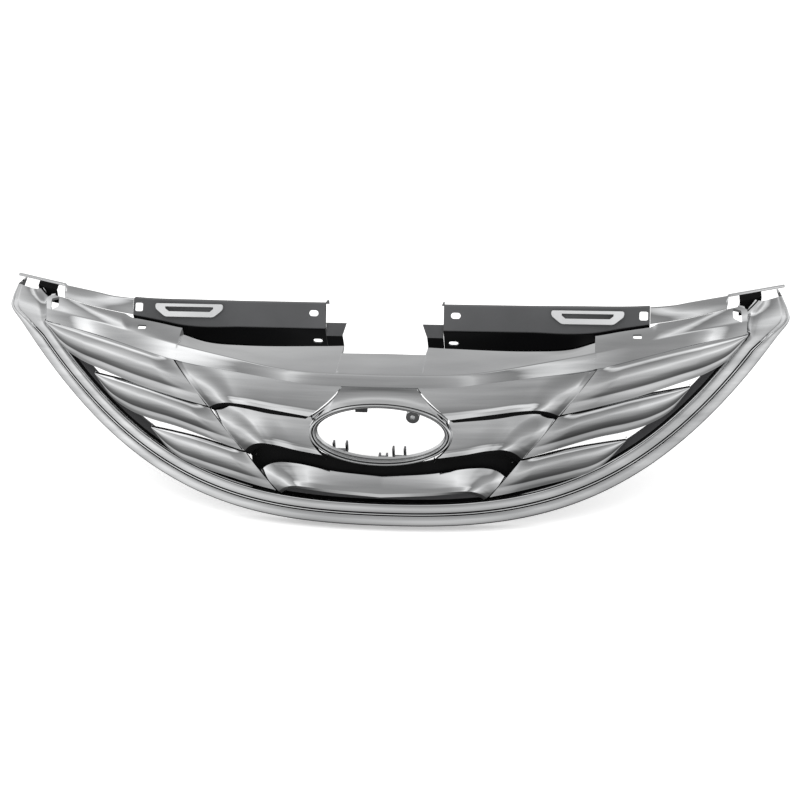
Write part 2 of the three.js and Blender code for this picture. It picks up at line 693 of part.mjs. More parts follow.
// ---------------------------------------------------------------- the assembly
const grille = new THREE.Group();

const add = (name, finish, geometry) => grille.add(solidMesh(name, finish, geometry));
function addPair(name, finish, geometry) {
  add(`right_${name}`, finish, geometry);
  add(`left_${name}`, finish, mirrored(geometry));
}

add("outer_surround", CHROME, surround());
add("surround_liner", MATTE_BLACK, liner());
add("top_bar", CHROME, topBar());
add("emblem_bridge", CHROME, bridge());
add("emblem_bezel", CHROME, bezel());
addPair("upper_louvre", CHROME, upperLouvre());
addPair("middle_louvre", CHROME, middleLouvre());
add("lower_louvre", CHROME, lowerLouvre());
for (const [place, blade] of Object.entries(BLADES)) {
  addPair(`${place}_wing_blade`, CHROME, wingBlade(blade));
}
addPair("wing_cap", CHROME, wingCap());
addPair("top_strip", CHROME, topStrip());
addPair("top_carrier", GLOSS_BLACK, carrier());
addPair("window_frame", PALE_FOAM, windowFrame());
addPair("latch_bracket", GLOSS_BLACK, latchBracket());
addPair("tip_backing", MATTE_BLACK, tipBacking());
add("lower_baffle", MATTE_BLACK, lowerBaffle());
add("rear_frame", MATTE_BLACK, rearFrame());
SCREWS.forEach(([x, z], i) =>
  add(`frame_screw_${i + 1}`, ZINC, screw(x, z, SCREW_BACK)));
add("left_emblem_socket", MATTE_BLACK, socket(-57, 20, 15, 22));
add("centre_emblem_socket", MATTE_BLACK, socket(23, 18, 17, 22));
add("emblem_foot_tab", MATTE_BLACK, socket(1, 12, 7, 22));
add("emblem_top_tab", MATTE_BLACK, topTab(-27));
add("emblem_boss", MATTE_BLACK, boss());

// The origin is the middle of the footprint, at the height of the lowest point.
const extent = new THREE.Box3().setFromObject(grille);
const middle = extent.getCenter(new THREE.Vector3());
grille.children.forEach((mesh) => mesh.geometry.translate(0, -middle.y, -extent.min.z));

export default grille;
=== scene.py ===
"""Looks of the front grille: fine chrome mouldings, black carriers and liner, studio and camera.

Design lines are in millimetres, X across the car, -Y out of the face, Z up, with the lowest
line of the surround at height 0; `place` turns them into metres in the frame of the CAD part.
"""

import math

import bmesh
import bpy
import numpy as np
from mathutils import Matrix, Vector

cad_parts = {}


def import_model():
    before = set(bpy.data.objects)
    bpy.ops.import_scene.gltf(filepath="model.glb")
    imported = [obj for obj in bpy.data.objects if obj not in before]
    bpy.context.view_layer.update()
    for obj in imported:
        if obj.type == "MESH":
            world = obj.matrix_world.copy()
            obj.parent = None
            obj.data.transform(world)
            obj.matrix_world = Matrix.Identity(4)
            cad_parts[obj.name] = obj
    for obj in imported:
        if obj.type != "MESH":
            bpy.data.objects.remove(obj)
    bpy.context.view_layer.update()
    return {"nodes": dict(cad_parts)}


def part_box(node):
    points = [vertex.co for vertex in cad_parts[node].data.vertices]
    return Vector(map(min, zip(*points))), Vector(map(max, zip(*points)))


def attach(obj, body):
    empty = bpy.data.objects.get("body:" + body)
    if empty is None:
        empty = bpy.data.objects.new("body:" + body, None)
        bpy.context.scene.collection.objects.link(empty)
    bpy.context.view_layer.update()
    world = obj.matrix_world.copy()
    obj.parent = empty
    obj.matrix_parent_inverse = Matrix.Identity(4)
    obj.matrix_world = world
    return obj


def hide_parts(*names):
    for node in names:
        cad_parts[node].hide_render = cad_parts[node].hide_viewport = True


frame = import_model()
MM = 0.001

# ---- driving dimensions
HALF_WIDTH = 536
TIP_RISE = 246  # climb of the outer edge from the centre to a tip
RISE_POWER = 3.1
SWEEP = 108  # how far the face falls back at the tips
RECLINE = 0.2  # lean of the face, millimetres back for each one up
FACE_HEIGHT = 127  # height of the emblem's centre
WALL = 2.2
SEAM_GAP = 0.6  # between a blade and the seam line
SEAM_X = 281  # outer end of the top bar
SEAM_FOOT = (143, 38)
SEAM_SLOPE = 0.84
EMBLEM = {"half_width": 96.5, "half_height": 43, "open_width": 86, "open_height": 35}
NOTCH_HALF = 57
TAB_BACK = 20  # from the face to the middle of the emblem's top tab


# ---- lines and surfaces
def unit(v):
    return v / np.linalg.norm(v)


def between(a, b, t):
    return a + (b - a) * t


def smoothstep(low, high, t):
    s = min(max((t - low) / (high - low), 0), 1)
    return s * s * (3 - 2 * s)


def even(start, end, count):
    return np.linspace(start, end, count + 1)


def face(x, z):
    return RECLINE * (z - FACE_HEIGHT) + SWEEP * (x / HALF_WIDTH) ** 2


def on_face(x, z, back=0.0):
    return np.array([x, face(x, z) + back, z], float)


def outer_edge(x):
    return TIP_RISE * (abs(x) / HALF_WIDTH) ** RISE_POWER


def seam_x(z):
    return SEAM_FOOT[0] + SEAM_SLOPE * (z - SEAM_FOOT[1])


def cubic(knots, values, t):
    """Piecewise cubic through the values, with natural ends, held beyond them."""
    i = int(np.clip(np.searchsorted(knots, t, side="right"), 1, len(knots) - 1))
    t0, t1 = knots[i - 1], knots[i]
    p = min(max((t - t0) / (t1 - t0), 0.0), 1.0)
    half = (t1 - t0) / 2
    first, last = i - 2 < 0, i + 1 > len(knots) - 1
    before = values[i] if first else values[i - 2]
    after = values[i - 1] if last else values[i + 1]
    w0 = -0.5 if first else half / (t0 - knots[i - 2])
    w1 = -0.5 if last else half / (knots[i + 1] - t1)
    return (
        (-w0 * p**3 + 2 * w0 * p**2 - w0 * p) * before
        + ((1 + w0) * p**3 + (-1.5 - 2 * w0) * p**2 + (w0 - 0.5) * p + 1) * values[i - 1]
        + ((-1 - w1) * p**3 + (1.5 + w1) * p**2 + 0.5 * p) * values[i]
        + (w1 * p**3 - w1 * p**2) * after
    )


def line_across(points):
    """A smooth line through [x, y, z] points, read at any x."""
    knots = [p[0] for p in points]
    values = np.array([p[1:] for p in points], float)
    return lambda x: np.array([x, *cubic(knots, values, x)])


def line_on_face(points):
    knots = [p[0] for p in points]
    heights = np.array([[p[1]] for p in points], float)
    return lambda x: on_face(x, cubic(knots, heights, x)[0])


def mirror_line(line):
    def read(x):
        y, z = line(abs(x))[1:]
        return np.array([x, y, z])

    return read


CREASE = line_across([
    [0, 16.4, 209], [94, 21, 209], [133, 27, 210], [212, 45, 217.6],
    [282, 64, 224], [354, 84, 232.5], [402, 97, 239], [484, 118, 249],
])
FASCIA_FOOT = line_across([
    [0, 13.5, 192.5], [95, 17, 192.5], [133, 20.6, 196.5], [205, 31, 203],
    [278, 46, 208.3], [400, 81, 227.5], [482, 109, 233.7],
])
SHELF_REAR = line_across([
    [57, 93, 211], [80, 94, 209.5], [200, 98, 205.6], [250, 96.5, 210.5], [286, 97.5, 222.5],
])
NOTCH_REAR = line_across([[0, 71, 212], [40, 72, 211], [57, 71, 211.5]])
DECK_FOLD = line_across([
    [200, 89.5, 238.5], [249, 93, 235.5], [281, 97, 236], [314, 101, 241],
    [403, 113, 252.5], [453, 121, 263], [480, 127, 267],
])
DECK_TOP = line_across([
    [200, 104.5, 268.5], [255, 108, 267.5], [337, 117, 264.5], [385, 125, 265.5],
    [404, 129, 268], [457, 138, 275], [529, 160, 279.5],
])
NOSE = [
    line_across([[90, -2, 153.5], [144, 4.3, 159.5], [190, 11, 163.5], [213, 15.5, 162],
                 [228, 21, 155], [235, 25, 149.5]]),
    line_across([[60, -14, 99], [80, -12.6, 102], [113, -9.4, 106], [146, -5.2, 111],
                 [167, -1.5, 110], [181, 3, 101], [188, 6, 92.5]]),
    line_across([[0, -24, 49], [70, -21.5, 52], [98, -19.5, 53.5], [122, -16, 52.5],
                 [134, -13, 47], [142, -10.5, 39.5]]),
]
EAVE = [
    line_across([[49, 19, 190.5], [133, 26, 194], [205, 37, 200.5], [276, 52, 205.5]]),
    line_across([[90, 12, 146], [144, 17, 150], [190, 23.5, 152], [233, 33, 146]]),
    line_across([[0, -2, 63], [66, 0, 68], [120, 4.5, 76], [145, 5, 76],
                 [158, 3.5, 72], [170, 2, 62]]),
]
BLADES = {
    "upper": {
        "top": line_across([[278, 46.5, 206.8], [400, 81.5, 226], [482, 109.5, 232.2]]),
        "foot": line_on_face([[240, 151], [286, 159], [333, 167], [385, 178.5], [430, 190],
                              [455, 203], [478, 228]]),
        "inner": 206, "outer": 481, "outer_foot": 478, "crown": 8,
    },
    "middle": {
        "top": line_on_face([[236, 147.5], [289, 158.5], [337, 166.5], [407, 171.5]]),
        "foot": line_on_face([[190, 93], [251, 109.5], [286, 117], [325, 122], [355, 129],
                              [385, 145], [405, 168]]),
        "inner": 147, "outer": 407, "outer_foot": 405, "crown": 7.5,
    },
    "lower": {
        "top": line_on_face([[190, 90], [251, 102], [290, 106], [325, 108]]),
        "foot": line_on_face([[144, 40.5], [203, 52.5], [253, 62.5], [281, 70], [303, 84],
                              [323, 105]]),
        "inner": 89, "outer": 325, "outer_foot": 323, "crown": 6,
    },
}


def frame_origin():
    """Where the design lines' origin lies in the CAD frame, from two of its nodes."""
    low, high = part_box("emblem_bezel")
    rise = (low.z + high.z) / 2 / MM - FACE_HEIGHT
    low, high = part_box("emblem_top_tab")
    tab_z = (low.z + high.z) / 2 / MM - rise
    tab_y = (low.y + high.y) / 2 / MM
    return np.array([0, tab_y - RECLINE * (tab_z - FACE_HEIGHT) - TAB_BACK, rise])


ORIGIN = frame_origin()


def place(points):
    return (np.asarray(points, float) + ORIGIN) * MM


# ---- profiles and sections
def catmull(a, b, c, d, t):
    return 0.5 * (
        2 * b + (c - a) * t + (2 * a - 5 * b + 4 * c - d) * t**2 + (3 * b - 3 * c + d - a) * t**3
    )


def smooth(points, corners=(), steps=6):
    """Catmull-Rom through 2-D points, broken at the corners, which stay sharp."""
    points = [np.array(p, float) for p in points]
    stops = sorted({0, len(points) - 1, *corners})
    out = [points[0]]
    for a, b in zip(stops, stops[1:]):
        for i in range(a, b):
            before = points[i - 1] if i > a else 2 * points[i] - points[i + 1]
            after = points[i + 2] if i + 2 <= b else 2 * points[i + 1] - points[i]
            if b - a == 1:
                out.append(points[i + 1])
                continue
            for k in range(1, steps + 1):
                out.append(catmull(before, points[i], points[i + 1], after, k / steps))
    return np.array(out)


def section(top, bottom, profile):
    """Lays a profile of [along, out] millimetres from top towards bottom."""
    along = unit(bottom - top)
    forwards = np.array([0.0, -1.0, 0.0])
    out = unit(forwards - along * forwards.dot(along))
    return [top + along * p + out * q for p, q in profile]


def moulding(steps, at):
    """One section for each step: at(step) gives its top, its bottom and its profile."""
    rows = []
    for t in steps:
        top, bottom, profile = at(t)
        rows.append(section(top, bottom, profile(np.linalg.norm(bottom - top))))
    return np.array(rows)


def turned_back(rows, first=True, last=True, depth=6.0):
    """The rows with their end stations turned back into a short side wall."""
    back = np.array([0, depth, 0])
    ends = [rows[:1] + back] * first + [rows] + [rows[-1:] + back] * last
    return np.concatenate(ends)


# ---- meshes
def add_object(name, data):
    thing = bpy.data.objects.new(name, data)
    bpy.context.scene.collection.objects.link(thing)
    return thing


def new_piece(name, mesh, material, replaced):
    thing = add_object(name, mesh)
    mesh.materials.append(material)
    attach(thing, "root")
    if replaced:
        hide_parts(*replaced)
    return thing


def grid_mesh(name, rows, closed=False):
    rows = place(rows)
    m, n = rows.shape[:2]
    faces = []
    for i in range(m if closed else m - 1):
        k = (i + 1) % m
        for j in range(n - 1):
            faces.append((i * n + j, k * n + j, k * n + j + 1, i * n + j + 1))
    mesh = bpy.data.meshes.new(name)
    mesh.from_pydata([tuple(p) for p in rows.reshape(-1, 3)], [], faces)
    mesh.update()
    return mesh


def solid_mesh(name, points, faces):
    """A closed mesh from points in millimetres, with its faces turned outwards."""
    mesh = bpy.data.meshes.new(name)
    mesh.from_pydata([tuple(p) for p in place(np.array(points))], [], faces)
    made = bmesh.new()
    made.from_mesh(mesh)
    bmesh.ops.recalc_face_normals(made, faces=made.faces)
    made.to_mesh(mesh)
    made.free()
    return mesh


OUTWARDS = Vector((0, -1, 0.4))  # out of the car: forwards and a little up


def turn_outwards(mesh):
    """Flips an open sheet whose faces look into the car."""
    total = sum((f.normal * f.area for f in mesh.polygons), Vector())
    if total.dot(OUTWARDS) < 0:
        mesh.flip_normals()


def soften(thing, width=0.5, angle=32, segments=2):
    bevel = thing.modifiers.new("edges", "BEVEL")
    bevel.width = width * MM
    bevel.segments = segments
    bevel.limit_method = "ANGLE"
    bevel.angle_limit = math.radians(angle)
    bevel.harden_normals = True
    bevel.use_clamp_overlap = True


def paint_shade_in_recesses(mesh, stations, columns, dark_stations, dark_columns, margin):
    """Faces of the named stations and columns of the grid get painted shade, near black, where the
    gaps and grooves fall into shadow.

    Columns stay out of the last margin of stations at each end."""
    mesh.materials.append(BACKING_BLACK_AND_PAINTED_SHADE)
    chosen_stations = {k % (stations - 1) for k in dark_stations}
    chosen_columns = {k % (columns - 1) for k in dark_columns}
    for k, face_of in enumerate(mesh.polygons):
        station, column = divmod(k, columns - 1)
        inside = margin <= station < stations - 1 - margin
        if station in chosen_stations or (column in chosen_columns and inside):
            face_of.material_index = 1


def shell(name, rows, slot, material, replaced=(), wall=WALL, bevel=0.5, closed=False,
          dark_stations=(), dark_columns=(), margin=0):
    """A sheet through the rows, thickened behind, with softened edges."""
    mesh = grid_mesh(name, rows, closed)
    turn_outwards(mesh)
    mesh.shade_smooth()
    thing = new_piece(name, mesh, material, replaced)
    # The named stations and columns get painted shade.
    if dark_stations or dark_columns:
        paint_shade_in_recesses(mesh, *rows.shape[:2], dark_stations, dark_columns, margin)
    wall_modifier = thing.modifiers.new("wall", "SOLIDIFY")
    wall_modifier.thickness = wall * MM
    wall_modifier.offset = -1
    wall_modifier.use_even_offset = True
    wall_modifier.thickness_clamp = 1.5
    soften(thing, bevel)
    return thing


def prism(outline, centre, across, up, depth):
    """A mesh object for cutting: an outline of [x, y] millimetres, thick along its normal."""
    across, up = unit(across), unit(up)
    normal = unit(np.cross(across, up))
    flat = [centre + across * x + up * y for x, y in outline]
    points = [p + normal * depth * k for k in (-0.5, 0.5) for p in flat]
    n = len(flat)
    faces = [tuple(range(n))[::-1], tuple(range(n, 2 * n))]
    faces += [(i, (i + 1) % n, (i + 1) % n + n, i + n) for i in range(n)]
    return add_object("cutter", solid_mesh("cutter", points, faces))


def cut_through(thing, cutters):
    """Applies the wall, takes the cutters out of it, and softens the new edges."""
    thing.modifiers.remove(thing.modifiers["edges"])
    for cutter in cutters:
        hole = thing.modifiers.new("hole", "BOOLEAN")
        hole.operation = "DIFFERENCE"
        hole.solver = "EXACT"
        hole.object = cutter
    bpy.context.view_layer.update()
    graph = bpy.context.evaluated_depsgraph_get()
    whole = bpy.data.meshes.new_from_object(thing.evaluated_get(graph))
    thing.modifiers.clear()
    thing.data = whole
    for cutter in cutters:
        bpy.data.objects.remove(cutter)
    soften(thing, 0.4)
    return thing


def rounded_rectangle(length, height, radius, steps=6):
    points = []
    for k, (sx, sy) in enumerate(((1, 1), (-1, 1), (-1, -1), (1, -1))):
        x, y = sx * (length / 2 - radius), sy * (height / 2 - radius)
        for i in range(steps + 1):
            angle = (k + i / steps) * math.pi / 2
            points.append((x + radius * math.cos(angle), y + radius * math.sin(angle)))
    return points


def pair(name, rows, slot, material, cutters=None, **options):
    """The right and left pieces of a mirrored pair, each for its own CAD node."""
    made = []
    for side, sign in (("right", 1), ("left", -1)):
        turned = rows * np.array([sign, 1, 1])
        thing = shell(f"{side}_{name}_skin", turned, slot, material, [f"{side}_{name}"], **options)
        if cutters:
            cut_through(thing, cutters(sign))
        made.append(thing)
    return made


# ---- materials
def node_material(name):
    material = bpy.data.materials.new(name)
    material.use_nodes = True
    tree = material.node_tree
    return material, tree, tree.nodes["Principled BSDF"]


NOISE_RANGE = (0.3, 0.7)  # most of the noise texture's values lie between these


def noise(tree, scale, detail=4.0, stretch=(1, 1, 1)):
    """Noise in object space, in cycles per metre."""
    place_node = tree.nodes.new("ShaderNodeTexCoord")
    mapping = tree.nodes.new("ShaderNodeMapping")
    mapping.inputs["Scale"].default_value = stretch
    texture = tree.nodes.new("ShaderNodeTexNoise")
    texture.inputs["Scale"].default_value = scale
    texture.inputs["Detail"].default_value = detail
    tree.links.new(place_node.outputs["Object"], mapping.inputs["Vector"])
    tree.links.new(mapping.outputs["Vector"], texture.inputs["Vector"])
    return texture.outputs["Fac"]


def map_range(tree, value, source=(0.0, 1.0), target=(0.0, 1.0)):
    ranged = tree.nodes.new("ShaderNodeMapRange")
    ranged.inputs["From Min"].default_value, ranged.inputs["From Max"].default_value = source
    ranged.inputs["To Min"].default_value, ranged.inputs["To Max"].default_value = target
    tree.links.new(value, ranged.inputs["Value"])
    return ranged.outputs["Result"]


def blend_colours(tree, share, first, second):
    mix = tree.nodes.new("ShaderNodeMix")
    mix.data_type = "RGBA"
    tree.links.new(share, mix.inputs["Factor"])
    tree.links.new(first, mix.inputs["A"])
    tree.links.new(second, mix.inputs["B"])
    return mix.outputs["Result"]


def shades(tree, value, dark, light):
    """The noise value as a colour between dark and light."""
    ramp = tree.nodes.new("ShaderNodeValToRGB")
    for element, position, colour in zip(ramp.color_ramp.elements, NOISE_RANGE, (dark, light)):
        element.position = position
        element.color = (*colour, 1)
    tree.links.new(value, ramp.inputs["Fac"])
    return ramp.outputs["Color"]


def bump(tree, value, distance, strength, base=None):
    node = tree.nodes.new("ShaderNodeBump")
    node.inputs["Distance"].default_value = distance
    node.inputs["Strength"].default_value = strength
    tree.links.new(value, node.inputs["Height"])
    if base is not None:
        tree.links.new(base, node.inputs["Normal"])
    return node.outputs["Normal"]


def finish_material(name, dark, light, rough, wave, grain, metallic=0.0, specular=0.5,
                    stretch=(1, 1, 1)):
    """Colour and roughness that drift over the surface, a slow wave and a fine grain in bump.

    dark and light are colours, rough is the range of the roughness, and wave and grain are
    (cycles per metre, depth in metres, strength)."""
    material, tree, shader = node_material(name)
    shader.inputs["Metallic"].default_value = metallic
    shader.inputs["Specular IOR Level"].default_value = specular
    drift = noise(tree, 12, 4, stretch)
    tree.links.new(shades(tree, drift, dark, light), shader.inputs["Base Color"])
    roughness = map_range(tree, noise(tree, 45), NOISE_RANGE, rough)
    tree.links.new(roughness, shader.inputs["Roughness"])
    slow = bump(tree, noise(tree, wave[0], 2, stretch), wave[1], wave[2])
    fine = bump(tree, noise(tree, grain[0], 6), grain[1], grain[2], slow)
    tree.links.new(fine, shader.inputs["Normal"])
    return material


def carrier_black():
    """Satin charcoal where the sheet leans back; glossy black with painted shade, far darker,
    where it is undercut and its faces do not turn up.
    """
    material, tree, shader = node_material("carrier_black")
    geometry = tree.nodes.new("ShaderNodeNewGeometry")
    split = tree.nodes.new("ShaderNodeSeparateXYZ")
    tree.links.new(geometry.outputs["True Normal"], split.inputs["Vector"])
    # Painted shade: the colour darkens on faces that do not turn up, where the undercut falls into
    # shadow.
    lean = map_range(tree, split.outputs["Z"], (0.05, 0.3))
    satin = shades(tree, noise(tree, 8), (0.07, 0.071, 0.073), (0.095, 0.096, 0.099))
    gloss_black_with_painted_shade = shades(tree, noise(tree, 8), (0.0012, 0.0012, 0.0013), (0.003, 0.003, 0.0034))
    tree.links.new(blend_colours(tree, lean, gloss_black_with_painted_shade, satin), shader.inputs["Base Color"])
    rough = map_range(tree, lean, target=(0.08, 0.34))
    tree.links.new(rough, shader.inputs["Roughness"])
    shader.inputs["Specular IOR Level"].default_value = 0.07
    slow = bump(tree, noise(tree, 16, 2), 0.002, 0.1)
    tree.links.new(bump(tree, noise(tree, 2200, 6), 0.00005, 0.12, slow), shader.inputs["Normal"])
    return material


CHROME = finish_material(
    "bright_chrome", (0.47, 0.475, 0.48), (0.66, 0.665, 0.67), (0.04, 0.1),
    (17, 0.002, 0.08), (900, 0.00004, 0.06), metallic=1.0, stretch=(0.3, 1, 5.5))
DECK = carrier_black()
MATTE = finish_material(
    "matte_black", (0.03, 0.03, 0.032), (0.05, 0.05, 0.053), (0.4, 0.55),
    (20, 0.001, 0.05), (3000, 0.0001, 0.3), specular=0.3)
# Near black: the colour of the black backing sheets, and painted shade on the chrome where its
# gaps and grooves fall into shadow.
BACKING_BLACK_AND_PAINTED_SHADE = finish_material(
    "backing_black_and_painted_shade", (0.002, 0.002, 0.002), (0.005, 0.005, 0.0055), (0.5, 0.7),
    (20, 0.001, 0.05), (3000, 0.0001, 0.3), specular=0.1)
SMOKED = finish_material(
    "smoked_chrome", (0.16, 0.16, 0.165), (0.3, 0.3, 0.31), (0.1, 0.2),
    (60, 0.001, 0.2), (1200, 0.00005, 0.1), metallic=1.0)
SEAL = finish_material(
    "pale_seal", (0.46, 0.465, 0.47), (0.56, 0.565, 0.57), (0.4, 0.5),
    (20, 0.001, 0.05), (2600, 0.00008, 0.25))
ZINC = finish_material(
    "zinc_plate", (0.42, 0.43, 0.43), (0.55, 0.55, 0.54), (0.25, 0.4),
    (40, 0.0005, 0.1), (2500, 0.00005, 0.2), metallic=1.0)


# ---- surround
BAND = {"centre": 29.5, "side": 34, "straight_to": 500}
BAND_TILT = {"outer": -3, "inner": 5}
GROOVE_PLACE = 0.5  # middle of the rib between the grooves, as a share of the width
GROOVE_FADE = {"place": 0.25, "least": 0.15}  # the grooves are shallowest from this place out
TIP_LEAD = (470, 485, 500)  # stations of the straight run that lead into the tip
TIP_STEPS = 6
# Sections of a tip: outer x and z, inner x and z, set back, place of the groove.
TIP = np.array([
    [520, 223.6, 481, 228, 0, 0.36], [535, 243, 482, 239, 0, 0.14],
    [533, 256, 485, 253, 3, 0.08], [524, 274, 496, 267, 11, 0.07],
])


def band_numbers(x):
    """Outer x and z, inner x and z, set back and groove place of the straight run at x."""
    z = outer_edge(x)
    slope = (outer_edge(x + 1) - outer_edge(x - 1)) / 2
    width = between(BAND["centre"], BAND["side"], (x / BAND["straight_to"]) ** 2)
    width /= math.hypot(slope, 1)
    return [x, z, x - slope * width, z + width, 0, GROOVE_PLACE]


def surround_numbers():
    """The same for every station of one half, the tip's smoothed in finer steps."""
    run = [band_numbers(x) for x in even(0, BAND["straight_to"], 110)]
    guide = [np.array(band_numbers(x)) for x in TIP_LEAD] + list(TIP)
    tip = []
    for i in range(len(TIP_LEAD) - 1, len(guide) - 1):
        after = guide[i + 2] if i + 2 < len(guide) else 2 * guide[i + 1] - guide[i]
        tip += [catmull(guide[i - 1], guide[i], guide[i + 1], after, k / TIP_STEPS)
                for k in range(1, TIP_STEPS + 1)]
    return np.array(run + tip)


# The band across its width: shares of the width, and how far each line stands out.
BAND_SHARES = [0, 0.025, 0.08, 0.25, 0.4, 0.43, 0.45, 0.475, 0.51, 0.535, 0.56, 0.59,
               0.75, 0.92, 1.0]
BAND_OUTS = [-3.6, -1.0, -0.1, 0.3, 0.0, -0.5, -3.2, -0.6, -0.6, -3.2, -0.5, 0.0,
             0.4, -0.2, -3.4]
BAND_CORNERS = [5, 6, 7, 8, 9, 10]
RIM = np.array([[0, -23.4], [0, -8]])  # the edge turned back outside the band
FLANGE = np.array([[2.6, -6], [4.8, -10.6]])  # the edge turned back inside it


def surround_profile(groove):
    """Rim, outer strip, a fine rib between two grooves, and the inner band.

    Towards a tip the grooves move outwards and grow shallow."""
    shares = np.array(BAND_SHARES)
    inner = shares > GROOVE_PLACE
    outwards = min(groove / GROOVE_PLACE, 1)
    shares[~inner] *= outwards
    shares[inner] = 1 - (1 - shares[inner]) * (1 - GROOVE_PLACE * outwards) / GROOVE_PLACE
    outs = np.array(BAND_OUTS)
    depth = (groove - GROOVE_FADE["place"]) / (GROOVE_PLACE - GROOVE_FADE["place"])
    for k in (BAND_CORNERS[1], BAND_CORNERS[4]):
        outs[k] *= min(max(depth, GROOVE_FADE["least"]), 1)

    def profile(width):
        bent = smooth([[s * width, q] for s, q in zip(shares, outs)], BAND_CORNERS, 4)
        return np.vstack([RIM, bent, FLANGE + [width, 0]])

    return profile


def groove_columns():
    """Columns of the surround's grid on the walls of its two grooves and on its flange, which get
    painted shade.
    """
    outs = surround_profile(GROOVE_PLACE)(1.0)
    walls = [k for k, (first, second) in enumerate(zip(outs, outs[1:]))
             if 0.4 < first[0] < 0.6 and min(first[1], second[1]) < -3]
    flange = range(len(outs) - 1 - len(FLANGE), len(outs) - 1)
    return [*walls, *flange]


def surround_rows():
    half = surround_numbers()
    rows = []
    for side in (-1, 1):
        stations = half[::-1] if side < 0 else half[1:]
        for ox, oz, ix, iz, back, groove in stations:
            top = on_face(side * ox, oz, back + BAND_TILT["outer"])
            bottom = on_face(side * ix, iz, back + BAND_TILT["inner"])
            width = np.linalg.norm(bottom - top)
            rows.append(section(top, bottom, surround_profile(groove)(width)))
    return np.array(rows)


# The liner inside the band: how far in from the band's inner edge its ledge starts and ends,
# how far behind that edge each end lies, and how deep its inner lip is turned back.
LINER = {"start_in": 0.9, "end_in": 11, "start_back": 7, "end_back": 11, "lip": 9}


def liner_rows():
    rows = []
    half = [band_numbers(x) for x in even(0, BAND["straight_to"] - 1, 60)]
    for side in (-1, 1):
        for ox, oz, ix, iz, *_ in (half[::-1] if side < 0 else half[1:]):
            top = on_face(side * ox, oz, BAND_TILT["outer"])
            bottom = on_face(side * ix, iz, BAND_TILT["inner"])
            inward = unit(bottom - top)
            start = bottom + inward * LINER["start_in"]
            start[1] = bottom[1] + LINER["start_back"]
            end = bottom + inward * LINER["end_in"]
            end[1] = bottom[1] + LINER["end_back"]
            width = np.linalg.norm(end - start)
            profile = [[0, 0], [width - 1, 0], [width - 0.3, -0.3], [width, -1],
                       [width, -LINER["lip"]]]
            rows.append(section(start, end, profile))
    return np.array(rows)


# ---- top bar and wing caps
def bent_rows(steps, front):
    """One row for each step: front(step) gives its points."""
    return np.array([front(x) for x in steps])


CROWN = {"bar": 0.8, "cap": 1.6}  # how far the middle of a shelf rises
SHELF_STEPS = 8
CREASE_RADIUS = 1.5
NOTCH_STEP = 0.3  # width of the step in the shelf's rear edge beside the notch


def arc(start, corner, end, steps):
    return [(1 - t) ** 2 * start + 2 * t * (1 - t) * corner + t * t * end
            for t in even(0, 1, steps)]


def fillet(points, corner, radius, steps=4):
    """The polyline with one corner rounded by a curve that leaves it radius away."""
    points = [np.array(p, float) for p in points]
    here = points[corner]
    start = here + unit(points[corner - 1] - here) * radius
    end = here + unit(points[corner + 1] - here) * radius
    return np.array(points[:corner] + arc(start, here, end, steps) + points[corner + 1:])


def strip_front(rear, crease, foot, crown):
    """A slightly crowned shelf from rear to crease, and a flat fascia to the foot."""
    shelf = [between(rear, crease, t) + np.array([0, 0, crown * 4 * t * (1 - t)])
             for t in even(0, 1, SHELF_STEPS)]
    fascia = [between(crease, foot, t) for t in (0.35, 0.7, 1)]
    return fillet(shelf + fascia, SHELF_STEPS, CREASE_RADIUS)


def bar_front(x):
    """Shelf from its rear edge to the crease, and the fascia down to its foot."""
    at = abs(x)
    rear = (SHELF_REAR if at > NOTCH_HALF else NOTCH_REAR)(at)
    points = strip_front(rear, CREASE(at), FASCIA_FOOT(at), CROWN["bar"])
    points[:, 0] = x
    return points


def top_bar_rows():
    side = even(NOTCH_HALF + NOTCH_STEP, SEAM_X, 70)
    steps = [*(-side[::-1]), *even(-NOTCH_HALF, NOTCH_HALF, 24), *side]
    return bent_rows(steps, bar_front)


STRIP_INNER = 352.6  # inner end of the top strip
# The rear corner of the cap's outer end is cut back by "corner" over its first lines.
CAP = {"end": 479, "corner": 12, "corner_lines": 4, "gap": 0.05}
# From the deck's fold to the cap's rear edge, inside and beside the strip, and the change's run.
CAP_REAR = {"inner": [0, -2, -3.5], "beside_strip": [0, -1.2, 0.4], "change": 12}
# Holes for the snap hooks: their x, the share of the way from the fold to the crease, the slant,
# and the length, height and corner radius.
SNAP_HOLE = {"places": (336, 466), "forward": 0.6, "slant": 0.14, "size": (11, 6, 1.2)}
CUT_DEPTH = {"cap": 24, "carrier": 16}


def cap_front(x):
    """The rear edge closes up to the strip's foot, and keeps clear of the carrier's riser."""
    near = smoothstep(STRIP_INNER, STRIP_INNER + CAP_REAR["change"], x)
    inner, beside_strip = np.array(CAP_REAR["inner"]), np.array(CAP_REAR["beside_strip"])
    rear = DECK_FOLD(x) + inner * (1 - near) + beside_strip * near
    return strip_front(rear, CREASE(x), FASCIA_FOOT(x), CROWN["cap"])


def cap_rows():
    """The cap's outer end is rounded at its rear corner, so each line ends at its own x."""
    start = SEAM_X + CAP["gap"]
    ends = [CAP["end"] - CAP["corner"] * (1 - min(j / CAP["corner_lines"], 1)) ** 2
            for j in range(len(cap_front(start)))]
    rows = [[cap_front(between(start, end, t))[j] for j, end in enumerate(ends)]
            for t in even(0, 1, 70)]
    step = bar_front(SEAM_X)
    return np.vstack([[step], turned_back(np.array(rows), first=False, depth=5)])


